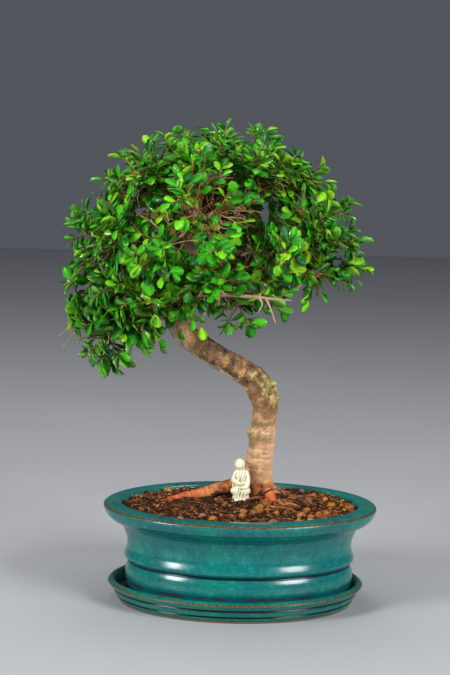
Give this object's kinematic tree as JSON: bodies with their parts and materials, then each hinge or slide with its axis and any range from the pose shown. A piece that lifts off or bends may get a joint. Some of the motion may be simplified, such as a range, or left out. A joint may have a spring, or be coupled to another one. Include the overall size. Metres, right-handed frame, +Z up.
{
  "type": "bonsai tree in a pot",
  "caption": "Chinese elm bonsai with a bent trunk and a round leafy crown, in an oval glazed pot on its drip saucer, with a small seated figure on the soil.",
  "frame": {"origin": "centre of the saucer's flat underside, on the surface it stands on", "axes": "+Z up, +X to the right along the pot's long side, -Y towards the viewer of the picture"},
  "size_m": [0.2789, 0.1978, 0.4196],
  "materials": {
    "saucer_glaze": "glossy teal green glaze, brown where it breaks over the edges",
    "pot_glaze": "glossy mottled turquoise glaze with a brown rim line",
    "soil": "matt, damp granular potting soil",
    "bark": "matt flaking bark",
    "foliage": "glossy leathery leaves",
    "cream_glaze": "satin cream-white glaze",
    "wire": "glossy black coating",
    "mesh_plastic": "matt black"
  },
  "bodies": {
    "root": {"saucer": "saucer_glaze", "pot": "pot_glaze", "soil": "soil", "trunk": "bark", "figurine": "cream_glaze", "anchor_wire": "wire", "drain_mesh_left": "mesh_plastic", "drain_mesh_right": "mesh_plastic", "spray_01": "foliage", "spray_02": "foliage", "spray_03": "foliage", "spray_04": "foliage", "spray_05": "foliage", "spray_06": "foliage", "spray_07": "foliage", "spray_08": "foliage", "spray_09": "foliage", "spray_10": "foliage", "spray_11": "foliage", "spray_12": "foliage", "spray_13": "foliage", "spray_14": "foliage", "spray_15": "foliage", "spray_16": "foliage", "spray_17": "foliage", "spray_18": "foliage", "spray_19": "foliage", "spray_20": "foliage", "spray_21": "foliage", "spray_22": "foliage", "spray_23": "foliage", "spray_24": "foliage", "spray_25": "foliage", "spray_26": "foliage", "spray_27": "foliage", "spray_28": "foliage", "spray_29": "foliage", "spray_30": "foliage", "spray_31": "foliage", "spray_32": "foliage", "spray_33": "foliage", "spray_34": "foliage", "spray_35": "foliage", "spray_36": "foliage", "spray_37": "foliage", "spray_38": "foliage", "spray_39": "foliage", "spray_40": "foliage", "spray_41": "foliage", "spray_42": "foliage", "spray_43": "foliage", "spray_44": "foliage", "spray_45": "foliage", "spray_46": "foliage", "spray_47": "foliage", "spray_48": "foliage", "spray_49": "foliage"}
  },
  "joints": []
}
